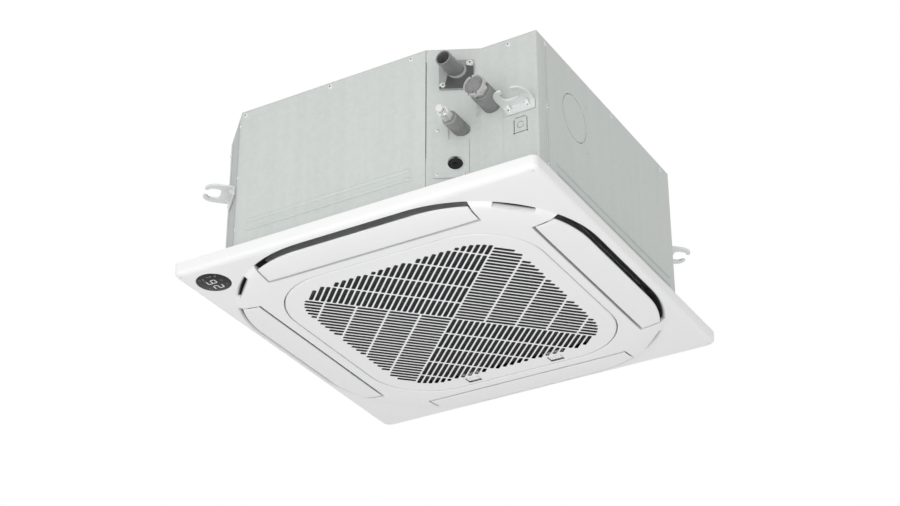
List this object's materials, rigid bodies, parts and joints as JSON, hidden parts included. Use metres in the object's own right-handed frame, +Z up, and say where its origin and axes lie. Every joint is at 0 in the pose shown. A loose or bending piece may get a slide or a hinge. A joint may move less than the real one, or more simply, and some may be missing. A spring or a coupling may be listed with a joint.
{
  "type": "four-way ceiling cassette air conditioner",
  "caption": "Compact four-way ceiling cassette air conditioner: square white panel with louvers and hinged intake grille under a galvanised casing with pipe stubs and hanger brackets.",
  "frame": {"origin": "middle of the intake grille's lowest face", "axes": "+Z up towards the ceiling, -Y towards the long front casing face beside the pipes, +X towards the casing face with the round fresh air knock-out"},
  "size_m": [0.62, 0.6376, 0.291],
  "materials": {
    "panel_white": "satin",
    "louver_white": "satin",
    "display_black": "polished",
    "board_green": "satin",
    "motor_cream": "matte",
    "filter_black": "matte",
    "galvanised_steel": "galvanised",
    "dark_foam": "matte",
    "pan_foam": "matte",
    "inlet_black": "satin",
    "fan_grey": "matte",
    "plain_steel": "brushed",
    "motor_grey": "satin",
    "fin_aluminium": "satin",
    "copper": "satin",
    "brass": "satin",
    "pump_white": "satin",
    "hose_grey": "satin",
    "drain_grey": "satin",
    "plug_rubber": "matte",
    "cap_grey": "satin",
    "cap_white": "satin"
  },
  "bodies": {
    "cassette": {"decoration_panel": "panel_white", "display_lens": "display_black", "display_board": "board_green", "front_panel": "galvanised_steel", "right_panel": "galvanised_steel", "back_panel": "galvanised_steel", "left_panel": "galvanised_steel", "corner_panel_front_left": "galvanised_steel", "corner_panel_back_left": "galvanised_steel", "corner_panel_back_right": "galvanised_steel", "piping_panel": "galvanised_steel", "top_plate": "galvanised_steel", "top_lining": "dark_foam", "side_lining": "dark_foam", "hanger_bracket_front_left": "galvanised_steel", "hanger_bracket_back_left": "galvanised_steel", "hanger_bracket_back_right": "galvanised_steel", "hanger_bracket_piping": "galvanised_steel", "drain_pan": "pan_foam", "bell_mouth": "inlet_black", "fan_motor": "motor_grey", "motor_mount": "galvanised_steel", "heat_exchanger": "fin_aluminium", "coil_end_front": "copper", "coil_end_right": "copper", "drain_pump": "pump_white", "pump_bracket": "galvanised_steel", "drain_hose": "hose_grey", "float_stem": "pump_white", "drain_flange": "cap_grey", "drain_pipe": "drain_grey", "drain_access_plate": "galvanised_steel", "drain_plug": "plug_rubber", "gas_pipe": "copper", "gas_sleeve": "dark_foam", "gas_flare_nut": "brass", "gas_cap": "cap_grey", "liquid_pipe": "copper", "liquid_sleeve": "dark_foam", "liquid_flare_nut": "brass", "liquid_cap": "cap_white", "control_box": "galvanised_steel", "control_box_cover": "galvanised_steel", "control_board": "board_green", "louver_motor_front": "motor_cream", "louver_motor_right": "motor_cream", "louver_motor_back": "motor_cream", "louver_motor_left": "motor_cream"},
    "louver_front": {"louver_front": "louver_white"},
    "louver_right": {"louver_right": "louver_white"},
    "louver_back": {"louver_back": "louver_white"},
    "louver_left": {"louver_left": "louver_white"},
    "grille": {"intake_grille": "panel_white", "air_filter": "filter_black"},
    "latch_left": {"latch_left": "louver_white"},
    "latch_right": {"latch_right": "louver_white"},
    "fan": {"turbo_fan": "fan_grey", "motor_shaft": "plain_steel", "fan_nut": "plain_steel"},
    "pump_float": {"float_ring": "pump_white"}
  },
  "joints": [
    {"name": "louver_front_swing", "type": "hinge", "parent": "cassette", "child": "louver_front", "pos_m": [0, -0.252, 0.009], "axis": [1, 0, 0], "range_deg": [0, 60]},
    {"name": "louver_right_swing", "type": "hinge", "parent": "cassette", "child": "louver_right", "pos_m": [0.252, 0, 0.009], "axis": [0, 1, 0], "range_deg": [0, 60]},
    {"name": "louver_back_swing", "type": "hinge", "parent": "cassette", "child": "louver_back", "pos_m": [0, 0.252, 0.009], "axis": [-1, 0, 0], "range_deg": [0, 60]},
    {"name": "louver_left_swing", "type": "hinge", "parent": "cassette", "child": "louver_left", "pos_m": [-0.252, 0, 0.009], "axis": [0, -1, 0], "range_deg": [0, 60]},
    {"name": "grille_hinge", "type": "hinge", "parent": "cassette", "child": "grille", "pos_m": [0, -0.226, 0.0055], "axis": [-1, 0, 0], "range_deg": [0, 85]},
    {"name": "latch_left_slide", "type": "slide", "parent": "grille", "child": "latch_left", "axis": [0, 1, 0], "range_m": [0, 0.004]},
    {"name": "latch_right_slide", "type": "slide", "parent": "grille", "child": "latch_right", "axis": [0, 1, 0], "range_m": [0, 0.004]},
    {"name": "fan_spin", "type": "hinge", "parent": "cassette", "child": "fan", "pos_m": [0, 0, 0.19], "axis": [0, 0, 1], "continuous": true},
    {"name": "pump_float_rise", "type": "slide", "parent": "cassette", "child": "pump_float", "axis": [0, 0, 1], "range_m": [0, 0.015]}
  ]
}
